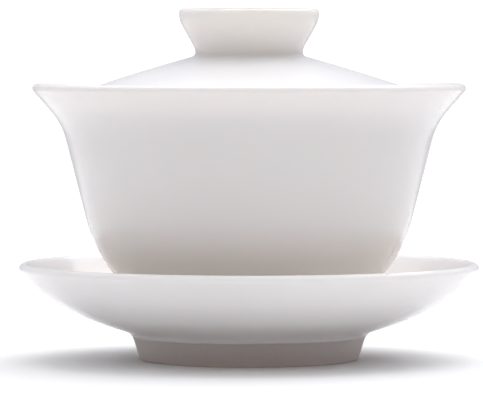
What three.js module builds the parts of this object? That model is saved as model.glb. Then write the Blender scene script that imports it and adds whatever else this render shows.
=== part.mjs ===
// A porcelain gaiwan: a saucer, a bowl that stands in its well, and a lid that rests inside
// the bowl's flared mouth. Each is one fired piece, round about the Z axis.
// Millimetres, +Z up, origin at the middle of the circle that the saucer's foot stands on.
//
// Every wall is given by its midline: corners of radius, height, bend radius and wall
// thickness, in order towards the lip. The two faces of the wall are that midline moved half
// the wall to each side, so a wall keeps its thickness when the shape of the vessel changes.

import * as THREE from 'three';

// ---- Sizes: saucer -----------------------------------------------------------------
const SAUCER_RIM_R = 53.1;         // widest radius, outside the lip
const SAUCER_HEIGHT = 22.3;        // table to the top of the lip
const SAUCER_LIP_WALL = 2.2;       // wall at the lip, which is fully round
const SAUCER_DISH_INSET = 4.7;     // midline corner where the dish turns up to the lip:
const SAUCER_DISH_DROP = 5.3;      //   in from the widest radius, down from the lip's top
const SAUCER_DISH_BEND = 23.5;
const SAUCER_FLANK_INSET = 15.2;   // midline corner where the dish leaves its flat cone:
const SAUCER_FLANK_DROP = 11.05;   //   in from the widest radius, down from the lip's top
const SAUCER_FLANK_BEND = 50;
const SAUCER_WALL = 2.8;           // wall at both of those corners
const SAUCER_ROOT_WALL = 3.6;      // wall where the dish leaves the foot ring
const SAUCER_FOOT_BASE_R = 25.2;   // outside of the foot ring where it stands
const SAUCER_FOOT_FLARE = 2.0;     // how much wider the ring is where it meets the dish
const SAUCER_FOOT_HEIGHT = 6.1;    // table to the underside of the dish at the ring
const SAUCER_FOOT_WALL = 2.6;      // width of the ring that touches the table
const SAUCER_WAIST_ROUND = 2.8;    // where the foot ring grows out of the dish
const SAUCER_FLOOR = 3.4;          // thickness of the floor under the bowl
const WELL_DEPTH = 1.0;            // how deep the well for the bowl's foot is
const WELL_CLEARANCE = 1.6;        // well wall to the bowl's foot ring, all round

// ---- Sizes: bowl -------------------------------------------------------------------
const BOWL_RIM_R = 50.0;           // widest radius, outside the lip
const BOWL_HEIGHT = 55.8;          // foot to the top of the lip
const BOWL_LIP_WALL = 2.0;         // wall at the lip, which is fully round
const BOWL_MOUTH_FLARE = 7.9;      // midline corner where the body turns out to the mouth:
const BOWL_MOUTH_DROP = 8.6;       //   in from the widest radius, down from the lip's top
const BOWL_MOUTH_BEND = 16.4;
const BOWL_BODY_LEAN = 8.9;        // midline corner where the bottom turns up to the body:
const BOWL_BELLY_Z = 12.55;        //   in from the mouth's corner, up from the bowl's foot
const BOWL_BELLY_BEND = 34.3;
const BOWL_WALL = 2.5;             // wall at both of those corners
const BOWL_INSIDE_BEND = 30;       // round bottom of the inside
const BOWL_FLOOR = 3.2;            // thickness of the floor in the middle
const BOWL_FOOT_BASE_R = 22.2;     // outside of the foot ring where it stands
const BOWL_FOOT_FLARE = 0.5;       // how much wider the ring is where it meets the bottom
const BOWL_FOOT_HEIGHT = 4.2;      // foot to the underside of the bowl at the ring
const BOWL_FOOT_WALL = 2.4;        // width of the ring that stands in the well
const BOWL_RECESS = 2.9;           // depth of the hollow inside the foot ring
const BOWL_WAIST_ROUND = 1.4;      // where the foot ring grows out of the bottom

// ---- Sizes: lid --------------------------------------------------------------------
const LID_SEAT_DEPTH = 5.1;        // from the bowl's lip down to the circle the lid rests on
const LID_EDGE_WALL = 2.2;         // wall at the edge, which is fully round
const LID_WALL = 2.6;              // wall of the dome
const LID_RISE = 11.05;            // edge to crown, along the midline
const LID_CROWN_R = 7.0;           // midline corner where the flat crown runs into the dome
const LID_CROWN_BEND = 40;
const LID_FLANK_INSET = 14.85;     // midline corner where the dome steepens a little:
const LID_FLANK_DROP = 6.05;       //   in from the middle of the edge, down from the crown
const LID_FLANK_BEND = 320;
const KNOB_HEIGHT = 10.65;         // crown midline to the top of the knob
const KNOB_RIM_R = 16.2;           // widest radius of the knob, outside its lip
const KNOB_WALL = 2.3;             // wall of the hollow knob
const KNOB_BROW_INSET = 1.2;       // midline corner under the knob's lip:
const KNOB_BROW_DROP = 2.35;       //   in from the widest radius, down from the knob's top
const KNOB_WAIST_INSET = 4.8;      // midline corner at the waist of the knob:
const KNOB_WAIST_Z = 1.9;          //   in from the widest radius, up from the crown midline
const KNOB_BEND = 8;               // bend at both of those corners
const KNOB_WAIST_TAPER = 0.2;      // how much narrower the waist is where it meets the dome

// ---- Clearances and rounding -------------------------------------------------------
const SEAT_GAP = 0.05;             // from glaze to glaze where one piece rests on another
const STANDING_ROUND = 0.7;        // edges of the rings that stand on something
const INNER_ROUND = 1.2;           // corners inside a recess, the well and the knob
const NECK_ROUND = 3.4;            // where the knob grows out of the dome
const WELL_LIP_ROUND = 0.8;        // upper edge of the well
const CHORD_ERROR = 0.05;          // furthest that a chord strays from its curve
const SAME_POINT = 0.005;          // outline points nearer than this are one point
const ROOT_PASSES = 5;             // enough to settle where a wall grows out of its foot
const TURN_STEPS = 48;             // facets round the axis, the same on every piece

// ---- Outline helpers ---------------------------------------------------------------
const corner = (r, z, bend = 0, wall = 0) => ({ at: new THREE.Vector2(r, z), bend, wall });

// The point where the line through a and b meets the line through c and d.
function crossing(a, b, c, d) {
  const ab = b.clone().sub(a);
  const cd = d.clone().sub(c);
  return a.clone().addScaledVector(ab, c.clone().sub(a).cross(cd) / ab.cross(cd));
}

// The unit normal on the left of the way from a to b.
function leftOf(a, b) {
  const way = b.clone().sub(a).normalize();
  return new THREE.Vector2(-way.y, way.x);
}

// One face of a wall: its midline moved half the wall to the left (side 1) or right (side -1).
function wallFace(midline, side) {
  const edges = midline.slice(1).map((end, i) => {
    const start = midline[i];
    const normal = leftOf(start.at, end.at).multiplyScalar(side / 2);
    return [start, end].map((point) => point.at.clone().addScaledVector(normal, point.wall));
  });
  return midline.map((point, i) => {
    if (i === 0) return { at: edges[0][0], bend: 0 };
    if (i === edges.length) return { at: edges[i - 1][1], bend: 0 };
    const before = leftOf(midline[i - 1].at, point.at);
    const turn = Math.sign(before.cross(leftOf(point.at, midline[i + 1].at)));
    const at = crossing(...edges[i - 1], ...edges[i]);
    return { at, bend: point.bend - side * turn * point.wall / 2 };
  });
}

// Both faces of a wall with a full round lip between them: right up to the lip, left back.
function wallWithLip(midline) {
  const right = wallFace(midline, -1);
  const left = wallFace(midline, 1);
  const lip = midline.at(-1);
  const ahead = lip.at.clone().sub(midline.at(-2).at).setLength(lip.wall / 2);
  for (const face of [right, left]) {
    face.at(-1).at.add(ahead);
    face.at(-1).bend = lip.wall / 2;
  }
  return { right, left: left.reverse() };
}

// How far along its edges a corner's bend reaches.
function bendReach(corners, i) {
  const { at, bend } = corners[i];
  if (!bend || i === 0 || i === corners.length - 1) return 0;
  const back = corners[i - 1].at.clone().sub(at);
  const forth = corners[i + 1].at.clone().sub(at);
  return bend / Math.tan(back.angleTo(forth) / 2);
}

// The corners' outline with each bend drawn as an arc. On an edge too short for the bends at
// its two ends, the longer one gives way, down to half the edge.
function outline(corners) {
  const reach = corners.map((_, i) => bendReach(corners, i));
  const room = (i, j) => {
    const edge = corners[i].at.distanceTo(corners[j].at);
    return Math.max(edge / 2, edge - reach[j]);
  };
  return corners.flatMap(({ at, bend }, i) => {
    if (reach[i] === 0) return [at.clone()];
    const scale = Math.min(reach[i], room(i, i - 1), room(i, i + 1)) / reach[i];
    const radius = bend * scale;
    const back = corners[i - 1].at.clone().sub(at).normalize();
    const forth = corners[i + 1].at.clone().sub(at).normalize();
    const start = at.clone().addScaledVector(back, reach[i] * scale);
    const end = at.clone().addScaledVector(forth, reach[i] * scale);
    const toCentre = Math.hypot(radius, reach[i] * scale);
    const centre = at.clone().addScaledVector(back.clone().add(forth).normalize(), toCentre);
    const sweep = (Math.PI - back.angleTo(forth)) * Math.sign(forth.cross(back));
    const steps = Math.ceil(Math.abs(sweep) / (2 * Math.acos(1 - CHORD_ERROR / radius)));
    const spoke = start.clone().sub(centre);
    const arc = Array.from({ length: steps }, (_, k) =>
      centre.clone().add(spoke.clone().rotateAround(new THREE.Vector2(), sweep * k / steps)));
    return [...arc, end];
  });
}

// An outline without the points that lie on top of the one before.
const withoutDoubles = (points) => points.filter((point, i) =>
  i === 0 || point.distanceTo(points[i - 1]) > SAME_POINT);

// The solid of an outline that starts and ends on the axis, turned about Z.
function turned(corners) {
  const geometry = new THREE.LatheGeometry(withoutDoubles(outline(corners)), TURN_STEPS);
  return geometry.rotateX(Math.PI / 2);
}

// A foot ring, from the axis outwards: the recess inside it, the ring, and its waist.
function footRing({ recess, baseR, flare, height, width, waist }) {
  return [
    corner(0, recess),
    corner(baseR - width - INNER_ROUND, recess, INNER_ROUND),
    corner(baseR - width, 0, STANDING_ROUND),
    corner(baseR, 0, STANDING_ROUND),
    corner(baseR + flare, height, waist),
  ];
}

// The midline point whose right face starts at the given place, on the way to the next.
function rootOf(faceR, faceZ, next, wall) {
  const root = corner(faceR, faceZ, 0, wall);
  const face = root.at.clone();
  for (let pass = 0; pass < ROOT_PASSES; pass += 1) {
    root.at.copy(face).addScaledVector(leftOf(root.at, next.at), wall / 2);
  }
  return root;
}

// ---- Saucer ------------------------------------------------------------------------
const wellR = BOWL_FOOT_BASE_R + WELL_CLEARANCE;

const saucerFlank = corner(SAUCER_RIM_R - SAUCER_FLANK_INSET,
  SAUCER_HEIGHT - SAUCER_FLANK_DROP, SAUCER_FLANK_BEND, SAUCER_WALL);
const saucerWall = wallWithLip([
  rootOf(SAUCER_FOOT_BASE_R + SAUCER_FOOT_FLARE, SAUCER_FOOT_HEIGHT, saucerFlank,
    SAUCER_ROOT_WALL),
  saucerFlank,
  corner(SAUCER_RIM_R - SAUCER_DISH_INSET, SAUCER_HEIGHT - SAUCER_DISH_DROP,
    SAUCER_DISH_BEND, SAUCER_WALL),
  corner(SAUCER_RIM_R - SAUCER_LIP_WALL / 2, SAUCER_HEIGHT - SAUCER_LIP_WALL / 2, 0,
    SAUCER_LIP_WALL),
]);
const [saucerLip, saucerDish, saucerInside, saucerRoot] = saucerWall.left;
const wellLip = crossing(saucerInside.at, saucerRoot.at,
  new THREE.Vector2(wellR, 0), new THREE.Vector2(wellR, 1));
const wellFloor = wellLip.y - WELL_DEPTH;

const saucerCorners = [
  ...footRing({
    recess: wellFloor - SAUCER_FLOOR,
    baseR: SAUCER_FOOT_BASE_R,
    flare: SAUCER_FOOT_FLARE,
    height: SAUCER_FOOT_HEIGHT,
    width: SAUCER_FOOT_WALL,
    waist: SAUCER_WAIST_ROUND,
  }),
  ...saucerWall.right.slice(1),
  saucerLip, saucerDish, saucerInside,
  corner(wellR, wellLip.y, WELL_LIP_ROUND),
  corner(wellR, wellFloor, INNER_ROUND),
  corner(0, wellFloor),
];

// ---- Bowl --------------------------------------------------------------------------
const bowlShoulder = corner(BOWL_RIM_R - BOWL_MOUTH_FLARE, BOWL_HEIGHT - BOWL_MOUTH_DROP,
  BOWL_MOUTH_BEND, BOWL_WALL);
const bowlBelly = corner(bowlShoulder.at.x - BOWL_BODY_LEAN, BOWL_BELLY_Z,
  BOWL_BELLY_BEND, BOWL_WALL);
const bowlWall = wallWithLip([
  rootOf(BOWL_FOOT_BASE_R + BOWL_FOOT_FLARE, BOWL_FOOT_HEIGHT, bowlBelly, BOWL_WALL),
  bowlBelly,
  bowlShoulder,
  corner(BOWL_RIM_R - BOWL_LIP_WALL / 2, BOWL_HEIGHT - BOWL_LIP_WALL / 2, 0, BOWL_LIP_WALL),
]);
const [bowlLip, mouthInside, bodyInside] = bowlWall.left;
const bowlFloor = BOWL_RECESS + BOWL_FLOOR;
const bowlBottom = crossing(mouthInside.at, bodyInside.at,
  new THREE.Vector2(0, bowlFloor), new THREE.Vector2(1, bowlFloor));

const bowlCorners = [
  ...footRing({
    recess: BOWL_RECESS,
    baseR: BOWL_FOOT_BASE_R,
    flare: BOWL_FOOT_FLARE,
    height: BOWL_FOOT_HEIGHT,
    width: BOWL_FOOT_WALL,
    waist: BOWL_WAIST_ROUND,
  }),
  ...bowlWall.right.slice(1),
  bowlLip, mouthInside,
  corner(bowlBottom.x, bowlBottom.y, BOWL_INSIDE_BEND),
  corner(0, bowlFloor),
];
const bowlSeat = wellFloor + SEAT_GAP;

// ---- Lid ---------------------------------------------------------------------------
// The middle of the lid's round edge, where the edge touches the inside of the mouth at the
// height of the seat. The edge and the mouth curve away from each other on both sides of it.
function lidEdgeMiddle() {
  const fromMiddle = outline(bowlCorners).reverse();
  const height = BOWL_HEIGHT - LID_SEAT_DEPTH;
  const above = fromMiddle.findIndex((point) => point.y >= height);
  const [low, high] = fromMiddle.slice(above - 1, above + 1);
  const touch = low.clone().lerp(high, (height - low.y) / (high.y - low.y));
  return touch.addScaledVector(leftOf(low, high), LID_EDGE_WALL / 2 + SEAT_GAP);
}

const edgeMiddle = lidEdgeMiddle();
const lidWall = wallWithLip([
  corner(0, LID_RISE, 0, LID_WALL),
  corner(LID_CROWN_R, LID_RISE, LID_CROWN_BEND, LID_WALL),
  corner(edgeMiddle.x - LID_FLANK_INSET, LID_RISE - LID_FLANK_DROP, LID_FLANK_BEND,
    LID_WALL),
  corner(edgeMiddle.x, 0, 0, LID_EDGE_WALL),
]);
const [lidEdge, lidFlank, lidCrown] = lidWall.left;
const crownTop = LID_RISE + LID_WALL / 2;

const knobTop = LID_RISE + KNOB_HEIGHT;
const waistR = KNOB_RIM_R - KNOB_WAIST_INSET;
const knobWall = wallWithLip([
  corner(waistR - KNOB_WAIST_TAPER, LID_RISE, 0, KNOB_WALL),
  corner(waistR, LID_RISE + KNOB_WAIST_Z, KNOB_BEND, KNOB_WALL),
  corner(KNOB_RIM_R - KNOB_BROW_INSET, knobTop - KNOB_BROW_DROP, KNOB_BEND, KNOB_WALL),
  corner(KNOB_RIM_R - KNOB_WALL / 2, knobTop - KNOB_WALL / 2, 0, KNOB_WALL),
]);
const neckRoot = crossing(lidFlank.at, lidCrown.at, knobWall.right[0].at, knobWall.right[1].at);
const [knobLip, knobBrow, knobWaist, knobBase] = knobWall.left;
const hollowFloor = crossing(knobWaist.at, knobBase.at,
  new THREE.Vector2(0, crownTop), new THREE.Vector2(1, crownTop));

const lidCorners = [
  ...lidWall.right,
  lidEdge, lidFlank,
  corner(neckRoot.x, neckRoot.y, NECK_ROUND),
  ...knobWall.right.slice(1),
  knobLip, knobBrow, knobWaist,
  corner(hollowFloor.x, hollowFloor.y, INNER_ROUND),
  corner(0, crownTop),
];

// ---- Assembly ----------------------------------------------------------------------
// White porcelain under a clear glaze, a shade warmer on the bowl and the saucer.
function porcelain(color) {
  return new THREE.MeshStandardMaterial({ color, roughness: 0.22, metalness: 0 });
}

function piece(name, corners, color, height) {
  const mesh = new THREE.Mesh(turned(corners), porcelain(color));
  mesh.name = name;
  mesh.position.z = height;
  return mesh;
}

const gaiwan = new THREE.Group();
gaiwan.add(
  piece('saucer', saucerCorners, 0xefeae6, 0),
  piece('bowl', bowlCorners, 0xf0ece8, bowlSeat),
  piece('lid', lidCorners, 0xf4f3f4, bowlSeat + edgeMiddle.y),
);

export default gaiwan;
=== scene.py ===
# %% [markdown]
# # A porcelain gaiwan on a white table
#
# A gaiwan is a lidded tea bowl on a saucer. It is three loose pieces of fired clay, all of
# them round: a potter throws each one on a wheel, trims it when it is leather-hard, dips it
# in clear glaze and fires it. This lesson builds the three pieces the same way. Each starts
# as an outline, the outline is spun round the axis, and then it is glazed.
#
# The solid model with the true sizes comes from the frame, and every size here is worked
# out from it. The frame's pieces are faceted, so each one is replaced by a smooth piece.

# %% Load the frame
import math

import bmesh
import bpy
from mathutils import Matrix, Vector


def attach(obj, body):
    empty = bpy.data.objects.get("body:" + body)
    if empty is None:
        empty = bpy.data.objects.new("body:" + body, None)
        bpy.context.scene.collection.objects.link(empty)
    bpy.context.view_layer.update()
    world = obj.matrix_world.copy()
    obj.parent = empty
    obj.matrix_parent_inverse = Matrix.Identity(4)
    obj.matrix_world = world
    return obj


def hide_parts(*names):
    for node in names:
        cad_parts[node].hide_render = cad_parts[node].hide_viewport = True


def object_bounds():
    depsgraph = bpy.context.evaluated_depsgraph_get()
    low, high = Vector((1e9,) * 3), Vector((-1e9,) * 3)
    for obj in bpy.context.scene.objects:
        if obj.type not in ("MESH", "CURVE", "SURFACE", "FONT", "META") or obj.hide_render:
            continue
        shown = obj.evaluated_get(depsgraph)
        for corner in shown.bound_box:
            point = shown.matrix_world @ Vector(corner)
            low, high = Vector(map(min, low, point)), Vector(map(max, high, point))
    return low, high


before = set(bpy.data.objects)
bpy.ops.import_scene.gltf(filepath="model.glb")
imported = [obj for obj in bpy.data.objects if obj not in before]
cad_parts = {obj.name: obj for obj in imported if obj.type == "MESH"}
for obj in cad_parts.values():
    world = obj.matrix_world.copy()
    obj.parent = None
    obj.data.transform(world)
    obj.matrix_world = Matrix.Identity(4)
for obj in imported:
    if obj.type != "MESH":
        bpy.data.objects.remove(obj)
cad_low, cad_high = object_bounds()
cad_size = cad_high - cad_low
MM = 0.001
print("whole gaiwan in mm:", [round(side / MM, 1) for side in cad_size])

# %% [markdown]
# ## The camera
#
# China looks best from well back through a long lens, so that the rim and the foot are seen
# almost level and the bowl keeps its true outline. The eye is a little below the top of
# the knob: the saucer shows a sliver of its inside, and the bowl's mouth is nearly a line.
# Working in shares of the object's own height and width keeps the view right if a size in
# the frame changes.

# %% Camera
CAMERA_DISTANCE = 0.95
EYE_LEVEL = 0.919          # share of the whole height
AIM_LEVEL = 0.443          # share of the whole height in the middle of the picture
SIDE_STEP = -0.0165        # share of the width that the camera stands to the left
PICTURE_WIDTH = 1.05       # widths of the object that fill the picture
SENSOR_WIDTH = 36          # millimetres
NEAREST, FURTHEST = 0.05, 50

eye = Vector((SIDE_STEP * cad_size.x, -CAMERA_DISTANCE, EYE_LEVEL * cad_size.z))
drop = (EYE_LEVEL - AIM_LEVEL) * cad_size.z
lens = bpy.data.cameras.new("long_lens")
lens.sensor_width = SENSOR_WIDTH
lens.lens = SENSOR_WIDTH * CAMERA_DISTANCE / (PICTURE_WIDTH * cad_size.x)
lens.clip_start = NEAREST
lens.clip_end = FURTHEST
camera = bpy.data.objects.new("camera", lens)
bpy.context.scene.collection.objects.link(camera)
camera.location = eye
camera.rotation_euler = (math.radians(90) - math.atan(drop / CAMERA_DISTANCE), 0, 0)
bpy.context.scene.camera = camera
print("lens in mm:", round(lens.lens, 1))

# %% [markdown]
# ## Table and light
#
# White china on white is lit with a tent: paper all round that glows softly, and a wide lamp
# above. There is nothing with an edge to mirror in the glaze, so the form is shown by slow
# changes of grey. Most of the light comes from above and a little from behind. The wall
# towards the camera stays dimmer, and that is what draws the foot ring and the shadow under
# the saucer. The tent is the world's colour, worked out from the direction.
#
# The paper behind is lit until it is pure white. If the glaze mirrored it at that strength,
# the outline would melt into it, so only the camera sees it so bright.

# %% Tent
PAPER_WHITE = (1.2, 1.2, 1.2)
ROOF_BEHIND = (1.50, 1.53, 1.60)
ROOF_IN_FRONT = (1.02, 1.03, 1.06)
WALL_BEHIND = (0.62, 0.61, 0.65)
WALL_IN_FRONT = (0.40, 0.378, 0.36)
ROOF_FROM, ROOF_FULL = 0.52, 0.70      # sines of the elevations where wall turns to roof
WALL_FROM, WALL_FULL = -0.25, 0.95     # how far back (+Y) the wall turns from front to behind
OVER_FROM, OVER_FULL = -0.8, 0.8       # the same for the roof


def add(tree, kind, **settings):
    node = tree.nodes.new("ShaderNode" + kind)
    for name, value in settings.items():
        setattr(node, name, value)
    return node


def link(tree, source, target):
    tree.links.new(source, target)


def remap(tree, value, low, high, to_low=0.0, to_high=1.0, smooth=False):
    node = add(tree, "MapRange")
    if smooth:
        node.interpolation_type = "SMOOTHSTEP"
    for name, number in (("From Min", low), ("From Max", high),
                         ("To Min", to_low), ("To Max", to_high)):
        node.inputs[name].default_value = number
    link(tree, value, node.inputs["Value"])
    return node.outputs["Result"]


def blend_colours(tree, share, a, b, how="MIX"):
    node = add(tree, "Mix", data_type="RGBA", blend_type=how)
    for name, value in (("Factor", share), ("A", a), ("B", b)):
        socket = next(s for s in node.inputs if s.name == name and s.enabled)
        if isinstance(value, tuple):
            socket.default_value = (*value, 1)
        elif isinstance(value, (int, float)):
            socket.default_value = value
        else:
            link(tree, value, socket)
    return next(s for s in node.outputs if s.enabled)


def light_tent():
    world = bpy.data.worlds.new("tent")
    world.use_nodes = True
    tree = world.node_tree
    way = add(tree, "SeparateXYZ")
    link(tree, add(tree, "TexCoord").outputs["Generated"], way.inputs[0])
    behind = remap(tree, way.outputs["Y"], WALL_FROM, WALL_FULL, smooth=True)
    above = remap(tree, way.outputs["Z"], ROOF_FROM, ROOF_FULL, smooth=True)
    over_back = remap(tree, way.outputs["Y"], OVER_FROM, OVER_FULL, smooth=True)
    wall = blend_colours(tree, behind, WALL_IN_FRONT, WALL_BEHIND)
    roof = blend_colours(tree, over_back, ROOF_IN_FRONT, ROOF_BEHIND)
    tent = blend_colours(tree, above, wall, roof)
    to_camera = add(tree, "LightPath").outputs["Is Camera Ray"]
    seen = blend_colours(tree, to_camera, tent, PAPER_WHITE)
    link(tree, seen, tree.nodes["Background"].inputs["Color"])
    bpy.context.scene.world = world


light_tent()
print("the tent is lit")

# %% [markdown]
# ## The lamp and the table
#
# The lamp is a sun with a very wide disc. A small disc would draw a hard shadow, and an area
# lamp near the object would light the table unevenly. This one softens the shadow over the
# height of the bowl and leaves the open table evenly white. It hangs a little behind the
# gaiwan and to its right, so the shadow comes forward and to the left.
#
# The table is a small card. Glazed edges that turn away from the eye mirror what lies behind
# the piece, and a bright table that ran on for metres would wash them out. With a small card
# they mirror the soft grey wall of the tent, and the outline stays clear.

# %% Lamp and table
LAMP_STRENGTH = 1.45
LAMP_SPREAD = 62           # degrees
LAMP_BACK, LAMP_RIGHT = 22, 12         # degrees
LAMP_COLOUR = (1.0, 0.995, 1.0)
TABLE_SIZE = 0.6
TABLE_GREY = 0.87
CARD_ROUGH = 0.9
CARD_GLOSS = 0.1


def hang_lamp():
    lamp = bpy.data.lights.new("overhead", "SUN")
    lamp.energy = LAMP_STRENGTH
    lamp.angle = math.radians(LAMP_SPREAD)
    lamp.color = LAMP_COLOUR
    holder = bpy.data.objects.new("overhead", lamp)
    bpy.context.scene.collection.objects.link(holder)
    holder.rotation_euler = (math.radians(-LAMP_BACK), math.radians(LAMP_RIGHT), 0)


def lay_table():
    mesh = bpy.data.meshes.new("table")
    half = TABLE_SIZE / 2
    corners = [(-half, -half, 0), (half, -half, 0), (half, half, 0), (-half, half, 0)]
    mesh.from_pydata(corners, [], [(0, 1, 2, 3)])
    table = bpy.data.objects.new("table", mesh)
    bpy.context.scene.collection.objects.link(table)
    finish = bpy.data.materials.new("white_card")
    finish.use_nodes = True
    card = finish.node_tree.nodes["Principled BSDF"]
    card.inputs["Base Color"].default_value = (TABLE_GREY, TABLE_GREY, TABLE_GREY, 1)
    card.inputs["Roughness"].default_value = CARD_ROUGH
    card.inputs["Specular IOR Level"].default_value = CARD_GLOSS
    mesh.materials.append(finish)
    table.location.z = cad_low.z


hang_lamp()
lay_table()
bpy.context.scene.view_settings.view_transform = "Standard"
print("the lamp hangs and the table is laid")

# %% [markdown]
# ## An outline from the frame
#
# A piece turned on a wheel is known by its outline: the line that a template would follow
# from the middle of the underside, out round the foot, up the outside, over the lip and down
# the inside to the middle again. The frame's node holds that line as the edges that lie in
# the half plane through the axis and +X. The points could be typed in again, but then two
# files would have to agree, so this cell reads them from the node and walks along them.

# %% Read an outline
TOUCH = 1e-6               # metres: points nearer than this are the same point


def outline_of(node):
    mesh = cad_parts[node].data
    neighbours = {}
    for edge in mesh.edges:
        ends = [mesh.vertices[i].co for i in edge.vertices]
        if any(abs(end.y) > TOUCH or end.x < -TOUCH for end in ends):
            continue
        here, there = [(round(end.x, 6), round(end.z, 6)) for end in ends]
        if here != there:
            neighbours.setdefault(here, set()).add(there)
            neighbours.setdefault(there, set()).add(here)
    start = min((point for point in neighbours if len(neighbours[point]) == 1),
                key=lambda point: point[1])
    path = [start]
    while True:
        ahead = neighbours[path[-1]] - set(path[-2:])
        if not ahead:
            break
        path.append(ahead.pop())
    return [Vector((max(r, 0), z)) for r, z in path]


outlines = {node: outline_of(node) for node in ("saucer", "bowl", "lid")}
for node, path in outlines.items():
    print(node, "outline:", len(path), "corners")

# %% [markdown]
# ## Drawing the outline smooth
#
# The frame's outline is a chain of short chords, each missing its curve by the same small
# amount. On such a chain the curve's direction at a corner lies between the two chords, and
# nearer to the longer one, in proportion to their lengths. With a direction at both ends,
# each chord becomes one cubic curve, and arcs come out round while flat stretches stay flat.
# A subdivision surface would also smooth the piece, but it shrinks every rounding, and the
# lips and the seats would no longer be the size that the frame gives.

# %% Smooth an outline
DENSE_STEP = 0.04 * MM


def directions(path):
    """The curve's direction at each corner of a chain of chords."""
    chords = [after - before for before, after in zip(path, path[1:])]
    inner = [(a + b).normalized() for a, b in zip(chords, chords[1:])]
    return [Vector((1, 0)), *inner, Vector((-1, 0))]


def cubic(start, end, leaving, arriving, share):
    """A point on the cubic from start to end with the given directions at its ends."""
    chord = end - start
    length = chord.length
    reach = [2 * length / (3 * (1 + way.dot(chord) / length)) for way in (leaving, arriving)]
    handles = [start, start + leaving * reach[0], end - arriving * reach[1], end]
    rest = 1 - share
    weights = [rest ** 3, 3 * rest ** 2 * share, 3 * rest * share ** 2, share ** 3]
    return sum((handle * weight for handle, weight in zip(handles, weights)), Vector((0, 0)))


def dense_outline(path):
    """The outline's smooth curve as closely spaced points."""
    ways = directions(path)
    points = []
    for i, (start, end) in enumerate(zip(path, path[1:])):
        count = max(1, math.ceil((end - start).length / DENSE_STEP))
        points += [cubic(start, end, ways[i], ways[i + 1], k / count) for k in range(count)]
    return [*points, path[-1]]


curves = {node: dense_outline(path) for node, path in outlines.items()}
for node, curve in curves.items():
    print(node, "outline length in mm:", round(sum(
        (b - a).length for a, b in zip(curve, curve[1:])) / MM, 1))

# %% [markdown]
# ## Where the glaze stops
#
# A glazed ring would melt onto the kiln shelf, so a potter leaves bare whatever stands on
# it. On the saucer and the bowl that is the foot ring, wiped clean from a little way up its
# inside to the waist outside. The lid is fired upside down, so its bare ring is on top of
# the knob's lip. Glaze pulls back from a wiped edge as it melts and stands there as a fine
# rounded roll. The roll is part of the shape, so it is made in the mesh and not painted on.
#
# Three more things can be measured along the outline and kept with each point: how far the
# point is from the glaze line; how hollow the curve is there, because melted glaze runs thin
# over an edge and gathers in a hollow, which the colour also uses for painted shade in
# hollows and a painted highlight on edges; and a share of painted light and shade by height.
# On the bowl that is a painted reflection of the saucer, lighter and warmer towards the foot.
# On the lid it is painted light, lighter towards the knob. On the saucer it is painted shade,
# darker down in the dish.

# %% Measure along an outline
WIPED_INSIDE = 1.3 * MM    # how far up the inside of a foot ring the glaze is wiped
WAIST_STOP = 0.5 * MM      # how far below the middle of the waist the glaze ends
LIP_WIPED = 0.75 * MM      # how far the knob's bare ring runs down both sides of its lip
ROLL_HEIGHT = 0.08 * MM
ROLL_WIDTH = 0.30 * MM
LEVEL = 0.01 * MM          # points this close to a piece's end height are on its flat
BOWL_PAINTED_SPAN = 0.55            # share of the bowl's height over which the painted reflection fades out
LID_PAINTED_SPAN = 0.62             # the same for the lid, counted down from the top of the knob
DISH_PAINTED_SPAN = 0.30            # the same for the saucer's inside, counted down from its lip


def lengths_along(curve):
    total = 0.0
    lengths = [0.0]
    for a, b in zip(curve, curve[1:]):
        total += (b - a).length
        lengths.append(total)
    return lengths


def steep(curve, i):
    """True where the outline climbs more than it runs sideways."""
    step = curve[i + 1] - curve[i]
    return step.y > abs(step.x)


def bare_on_foot(curve, lengths):
    """The bare stretch of a foot ring: from inside, under the ring, to the waist."""
    lowest = min(point.y for point in curve)
    flat = [i for i, point in enumerate(curve) if point.y - lowest < LEVEL]
    waist = flat[-1]
    while not steep(curve, waist):
        waist += 1
    while steep(curve, waist):
        waist += 1
    return lengths[flat[0]] - WIPED_INSIDE, lengths[waist] - WAIST_STOP


def bare_on_knob(curve, lengths):
    """The bare stretch on top of the knob's lip."""
    highest = max(point.y for point in curve)
    flat = [s for s, point in zip(lengths, curve) if highest - point.y < LEVEL]
    return min(flat) - LIP_WIPED, max(flat) + LIP_WIPED


def into_bare(s, stretch):
    """How far a place is inside the bare stretch. On the glaze it is less than zero."""
    return min(s - stretch[0], stretch[1] - s)


def glaze_roll(depth):
    """How far the glaze stands out at its edge, a little before the bare clay."""
    if depth > 0:
        return 0.0
    return ROLL_HEIGHT * math.exp(-((depth + ROLL_WIDTH) / ROLL_WIDTH) ** 2)


def painted_light_and_shade(node, curve):
    """The share of painted light and shade at each point of the outline, from none (0) to
    most (1).
    """
    lowest = min(point.y for point in curve)
    highest = max(point.y for point in curve)
    lip = max(range(len(curve)), key=lambda i: curve[i].y)
    painted_share = []
    for i, point in enumerate(curve):
        rise = (point.y - lowest) / (highest - lowest)
        if node == "bowl":
            share = 1 - rise / BOWL_PAINTED_SPAN
        elif node == "lid":
            share = 1 - (1 - rise) / LID_PAINTED_SPAN
        else:
            share = (1 - rise) / DISH_PAINTED_SPAN if i > lip else 0.0
        painted_share.append(min(max(share, 0.0), 1.0))
    return painted_share


stretches = {}
painted_shares = {}
for node, curve in curves.items():
    painted_shares[node] = painted_light_and_shade(node, curve)
    find = bare_on_knob if node == "lid" else bare_on_foot
    stretches[node] = find(curve, lengths_along(curve))
    print(node, "bare stretch in mm:", [round(s / MM, 2) for s in stretches[node]])

# %% [markdown]
# ## Spinning the piece
#
# Blender has a Screw modifier that turns an outline round an axis. Here the rings are made
# one by one instead, because each point brings its measures along, and the two points on the
# axis have to close the piece with a single vertex each. Points are set closer where the
# outline bends and near the glaze line, and further apart where it runs straight.

# %% Spin an outline into a piece
RING_SPOKES = 240
LONGEST_STEP = 1.3 * MM
SHARPEST_TURN = math.radians(7)
ROLL_STEP = 0.13 * MM
ROLL_ZONE = 2.5            # widths of the roll, either side of it, that have the close step
HOLLOW_SPAN = 1.2 * MM     # the length over which hollowness is felt


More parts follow.
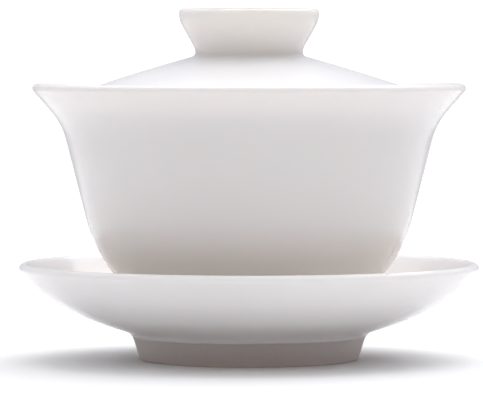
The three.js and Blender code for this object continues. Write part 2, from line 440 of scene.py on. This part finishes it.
def turn_at(curve, i, reach):
    """The outline's turn, in radians, over a span round point i. A hollow turns right."""
    low, high = max(i - reach, 0), min(i + reach, len(curve) - 1)
    if low == i or high == i:
        return 0.0
    before, after = curve[i] - curve[low], curve[high] - curve[i]
    return math.atan2(before.x * after.y - before.y * after.x, before.dot(after))


def ring_points(node):
    """The outline's chosen points: place, depth into the bare stretch, hollowness, share of
    painted light and shade.
    """
    curve = curves[node]
    lengths = lengths_along(curve)
    reach = round(HOLLOW_SPAN / DENSE_STEP)
    chosen = []
    spent = 1.0
    for i, point in enumerate(curve):
        depth = into_bare(lengths[i], stretches[node])
        step = ROLL_STEP if abs(depth + ROLL_WIDTH) < ROLL_ZONE * ROLL_WIDTH else LONGEST_STEP
        if 0 < i < len(curve) - 1:
            moved = lengths[i] - lengths[i - 1]
            spent += moved / step + abs(turn_at(curve, i, 1)) / SHARPEST_TURN
            if spent < 1:
                continue
            ahead = (curve[i + 1] - curve[i - 1]).normalized()
            point = point + Vector((ahead.y, -ahead.x)) * glaze_roll(depth)
        spent = 0.0
        chosen.append((point, depth, -turn_at(curve, i, reach), painted_shares[node][i]))
    return chosen


def spin(name, points):
    """A closed mesh from an outline that starts and ends on the axis."""
    shape = bmesh.new()
    bare = shape.verts.layers.float.new("into_bare_mm")
    hollow = shape.verts.layers.float.new("hollow")
    painted_share = shape.verts.layers.float.new("painted_light_and_shade")
    rings = []
    for i, (place, depth, bend, painted_amount) in enumerate(points):
        on_axis = i in (0, len(points) - 1)
        ring = []
        for k in range(1 if on_axis else RING_SPOKES):
            angle = 2 * math.pi * k / RING_SPOKES
            r = 0.0 if on_axis else place.x
            vertex = shape.verts.new((r * math.cos(angle), r * math.sin(angle), place.y))
            vertex[bare] = depth / MM
            vertex[hollow] = bend
            vertex[painted_share] = painted_amount
            ring.append(vertex)
        rings.append(ring)
    for lower, upper in zip(rings, rings[1:]):
        for k in range(RING_SPOKES):
            ahead = (k + 1) % RING_SPOKES
            corners = [lower[k % len(lower)], lower[ahead % len(lower)],
                       upper[ahead % len(upper)], upper[k % len(upper)]]
            face = shape.faces.new(list(dict.fromkeys(corners)))
            face.smooth = True
    mesh = bpy.data.meshes.new(name)
    shape.to_mesh(mesh)
    shape.free()
    piece = bpy.data.objects.new(name, mesh)
    bpy.context.scene.collection.objects.link(piece)
    print(name, len(points), "rings,", len(mesh.polygons), "faces")
    return piece


saucer = spin("glazed_saucer", ring_points("saucer"))
bowl = spin("glazed_bowl", ring_points("bowl"))
lid = spin("glazed_lid", ring_points("lid"))

# %% [markdown]
# ## Porcelain
#
# Fired porcelain is a white, faintly see-through clay under a thin coat of clear glass. One
# flat white would do for a toy. Here there are several tones that change slowly: the clay's
# own white under the soft ripple of the glass, set a little lighter or darker on each piece
# as painted light and shade; a slightly deeper tone where glaze has gathered in a hollow,
# deepened as painted shade; a lighter one on edges where glaze runs thin, with a painted
# highlight; painted light and shade by height, a painted reflection low on the bowl, painted
# light near the lid's knob and painted shade in the saucer's dish; and the dry bare clay on
# the wiped ring, darkened as painted shade.
#
# The Principled shader can be all of it. The base is the clay and the coat is the glaze. Most
# of the light also soaks a few millimetres into the clay, which softens the thin lips and
# lets some light through to the undersides. The measures that each vertex brought along
# decide where the tones go, and noise in the object's own coordinates breaks them up, so
# the finish stays on the piece when it is lifted.

# %% Porcelain finish
GLAZED_ROUGH = 0.20
GLAZED_UNEVEN = (-0.02, 0.03)          # how the roughness of the glaze varies
BARE_ROUGH = 0.82
GLASS_WEIGHT = 0.5
GLASS_ROUGH = 0.10
GLASS_IOR = 1.4
CLAY_IOR = 1.5
CLAY_GLOSS = 0.2
CLAY_GLOW = 0.8                        # share of the light that goes into the clay
GLOW_COLOURS = (1.0, 0.92, 0.85)       # how far each colour travels in it
# The bare clay's colour, darkened as painted shade of the shadow under the saucer.
BARE_CLAY_AND_PAINTED_SHADE = (0.62, 0.56, 0.545)
# Darker in hollows: glaze gathers there, and the darkening is painted shade.
POOLED_TINT_AND_SHADE = (0.975, 0.965, 0.955)
# Lighter on edges: glaze runs thin there, and the lightening is a painted highlight.
THIN_TINT_AND_HIGHLIGHT = (1.02, 1.015, 1.01)
POOLED_AND_SHADED_TURNS, MOST_POOLED_AND_SHADED = (0.05, 0.9), 0.85      # turns in radians, as "hollow" holds them
THIN_AND_LIT_TURNS, MOST_THIN_AND_LIT = (-0.4, -1.6), 0.7
CLOUD_DARKER = 0.975
GRAIN_DARKER = 0.93
NOISE_LOW, NOISE_HIGH = 0.3, 0.7       # the part of the noise's range that is used
GRAIN_LOW, GRAIN_HIGH = 0.35, 0.65
CLOUD_LENGTH = 34 * MM
SHEEN_LENGTH = 16 * MM
WANDER_LENGTH, WANDER = 9 * MM, 0.22   # the glaze line wanders this many millimetres
LINE_SOFTNESS = 0.06                   # millimetres
RIPPLE_LENGTH, RIPPLE_HEIGHT = 11 * MM, 0.020 * MM
DIMPLE_LENGTH, DIMPLE_HEIGHT = 2.2 * MM, 0.0035 * MM
GRAIN_LENGTH, GRAIN_HEIGHT = 0.35 * MM, 0.030 * MM


def noise(tree, place, length, detail=2.0):
    """Noise whose ripples are about the given length in metres apart."""
    node = add(tree, "TexNoise")
    node.inputs["Scale"].default_value = 1 / length
    node.inputs["Detail"].default_value = detail
    link(tree, place.outputs["Object"], node.inputs["Vector"])
    return node.outputs["Fac"]


def measured(tree, name):
    return add(tree, "Attribute", attribute_name=name).outputs["Fac"]


def calculate(tree, operation, a, b):
    node = add(tree, "Math", operation=operation)
    for socket, value in zip(node.inputs, (a, b)):
        if isinstance(value, (int, float)):
            socket.default_value = value
        else:
            link(tree, value, socket)
    return node.outputs[0]


def glaze_colour_and_painted_light(tree, place, clay_lit_and_shaded, painted_colour):
    """The glazed clay's colour: clouds, painted shade in hollows where glaze gathers, a
    painted highlight on edges where it runs thin, and painted light and shade by height.
    """
    cloud = remap(tree, noise(tree, place, CLOUD_LENGTH, 3), NOISE_LOW, NOISE_HIGH)
    colour = blend_colours(tree, cloud, tuple(v * CLOUD_DARKER for v in clay_lit_and_shaded), clay_lit_and_shaded)
    hollow = measured(tree, "hollow")
    # Hollows darker, where glaze gathers: painted shade.
    pooled_and_shaded = remap(tree, hollow, *POOLED_AND_SHADED_TURNS, 0.0, MOST_POOLED_AND_SHADED, smooth=True)
    colour = blend_colours(tree, pooled_and_shaded, colour, POOLED_TINT_AND_SHADE, "MULTIPLY")
    # Edges lighter, where glaze runs thin: a painted highlight.
    thinned_and_lit = remap(tree, hollow, *THIN_AND_LIT_TURNS, 0.0, MOST_THIN_AND_LIT, smooth=True)
    colour = blend_colours(tree, thinned_and_lit, colour, THIN_TINT_AND_HIGHLIGHT, "MULTIPLY")
    # Painted light and shade by height: a painted reflection low on the bowl, painted light
    # near the lid's knob, painted shade in the saucer's dish.
    painted_by_height = remap(tree, measured(tree, "painted_light_and_shade"), 0.0, 1.0, smooth=True)
    return blend_colours(tree, painted_by_height, colour, painted_colour)


def surface_relief(tree, place, bare, grain):
    """A bump of soft ripple on the glaze and of grit on the bare clay."""
    ripple = remap(tree, noise(tree, place, RIPPLE_LENGTH), 0.0, 1.0, 0.0, RIPPLE_HEIGHT)
    dimples = remap(tree, noise(tree, place, DIMPLE_LENGTH), 0.0, 1.0, 0.0, DIMPLE_HEIGHT)
    grit = remap(tree, grain, 0.0, 1.0, 0.0, GRAIN_HEIGHT)
    glassy = calculate(tree, "ADD", ripple, dimples)
    height = add(tree, "Mix", data_type="FLOAT")
    for socket, value in zip((height.inputs[0], height.inputs[2], height.inputs[3]),
                             (bare, glassy, grit)):
        link(tree, value, socket)
    bump = add(tree, "Bump")
    bump.inputs["Strength"].default_value = 1.0
    bump.inputs["Distance"].default_value = 1.0
    link(tree, height.outputs[0], bump.inputs["Height"])
    return bump.outputs["Normal"]


def porcelain(name, clay_lit_and_shaded, painted_colour, glow):
    finish = bpy.data.materials.new(name)
    finish.use_nodes = True
    tree = finish.node_tree
    shader = tree.nodes["Principled BSDF"]
    place = add(tree, "TexCoord")

    # The glaze line is not quite level, and it is where glaze gives way to bare clay.
    wander = remap(tree, noise(tree, place, WANDER_LENGTH), NOISE_LOW, NOISE_HIGH,
                   -WANDER, WANDER)
    depth = calculate(tree, "ADD", measured(tree, "into_bare_mm"), wander)
    bare = remap(tree, depth, -LINE_SOFTNESS, LINE_SOFTNESS, smooth=True)

    # Glazed clay on one side of the line, grainy bare clay on the other, its colour darkened
    # as painted shade of the shadow under the saucer.
    glazed_and_painted_light = glaze_colour_and_painted_light(tree, place, clay_lit_and_shaded, painted_colour)
    grain = noise(tree, place, GRAIN_LENGTH, 4)
    grainy_bare_and_shade = blend_colours(tree, remap(tree, grain, GRAIN_LOW, GRAIN_HIGH),
                          tuple(v * GRAIN_DARKER for v in BARE_CLAY_AND_PAINTED_SHADE), BARE_CLAY_AND_PAINTED_SHADE)
    link(tree, blend_colours(tree, bare, glazed_and_painted_light, grainy_bare_and_shade), shader.inputs["Base Color"])

    # The glaze is a touch less even in some places than in others, and stops with the line.
    least, most = (GLAZED_ROUGH + change for change in GLAZED_UNEVEN)
    sheen = remap(tree, noise(tree, place, SHEEN_LENGTH), NOISE_LOW, NOISE_HIGH, least, most)
    drier = remap(tree, bare, 0.0, 1.0, 0.0, BARE_ROUGH - GLAZED_ROUGH)
    link(tree, calculate(tree, "ADD", sheen, drier), shader.inputs["Roughness"])
    link(tree, remap(tree, bare, 0.0, 1.0, GLASS_WEIGHT, 0.0), shader.inputs["Coat Weight"])

    relief = surface_relief(tree, place, bare, grain)
    link(tree, relief, shader.inputs["Normal"])
    link(tree, relief, shader.inputs["Coat Normal"])

    shader.inputs["IOR"].default_value = CLAY_IOR
    shader.inputs["Specular IOR Level"].default_value = CLAY_GLOSS
    shader.inputs["Coat Roughness"].default_value = GLASS_ROUGH
    shader.inputs["Coat IOR"].default_value = GLASS_IOR
    shader.inputs["Subsurface Weight"].default_value = CLAY_GLOW
    shader.inputs["Subsurface Radius"].default_value = GLOW_COLOURS
    shader.inputs["Subsurface Scale"].default_value = glow
    return finish


# Colours of the glazed clay, and of the painted light and shade by height: lighter and warmer
# low on the bowl and near the lid's knob, darker in the saucer's dish.
# Each piece's clay is set a little lighter or darker than the others' as painted light and
# shade.
CLAYS_LIT_AND_SHADED = {
    "saucer": (0.83, 0.815, 0.82),
    "bowl": (0.845, 0.825, 0.825),
    "lid": (0.855, 0.845, 0.85),
}
PAINTED_LIGHT_AND_SHADE_COLOURS = {
    "saucer": (0.77, 0.74, 0.705),
    "bowl": (0.95, 0.885, 0.82),
    "lid": (0.93, 0.905, 0.875),
}
# How far light travels in each piece's clay.
GLOWS = {"saucer": 4.5 * MM, "bowl": 2.2 * MM, "lid": 2.0 * MM}
for node, piece in (("saucer", saucer), ("bowl", bowl), ("lid", lid)):
    finish = porcelain(node + "_porcelain", CLAYS_LIT_AND_SHADED[node], PAINTED_LIGHT_AND_SHADE_COLOURS[node], GLOWS[node])
    piece.data.materials.append(finish)
    print(piece.name, "is glazed")

# %% [markdown]
# ## Putting the pieces in place
#
# Each smooth piece stands for its faceted node and rides on the body of the same name, so
# lifting the bowl takes the lid along, and lifting the lid leaves the bowl.

# %% Ride and replace
for node, piece in (("saucer", saucer), ("bowl", bowl), ("lid", lid)):
    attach(piece, node)
    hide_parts(node)
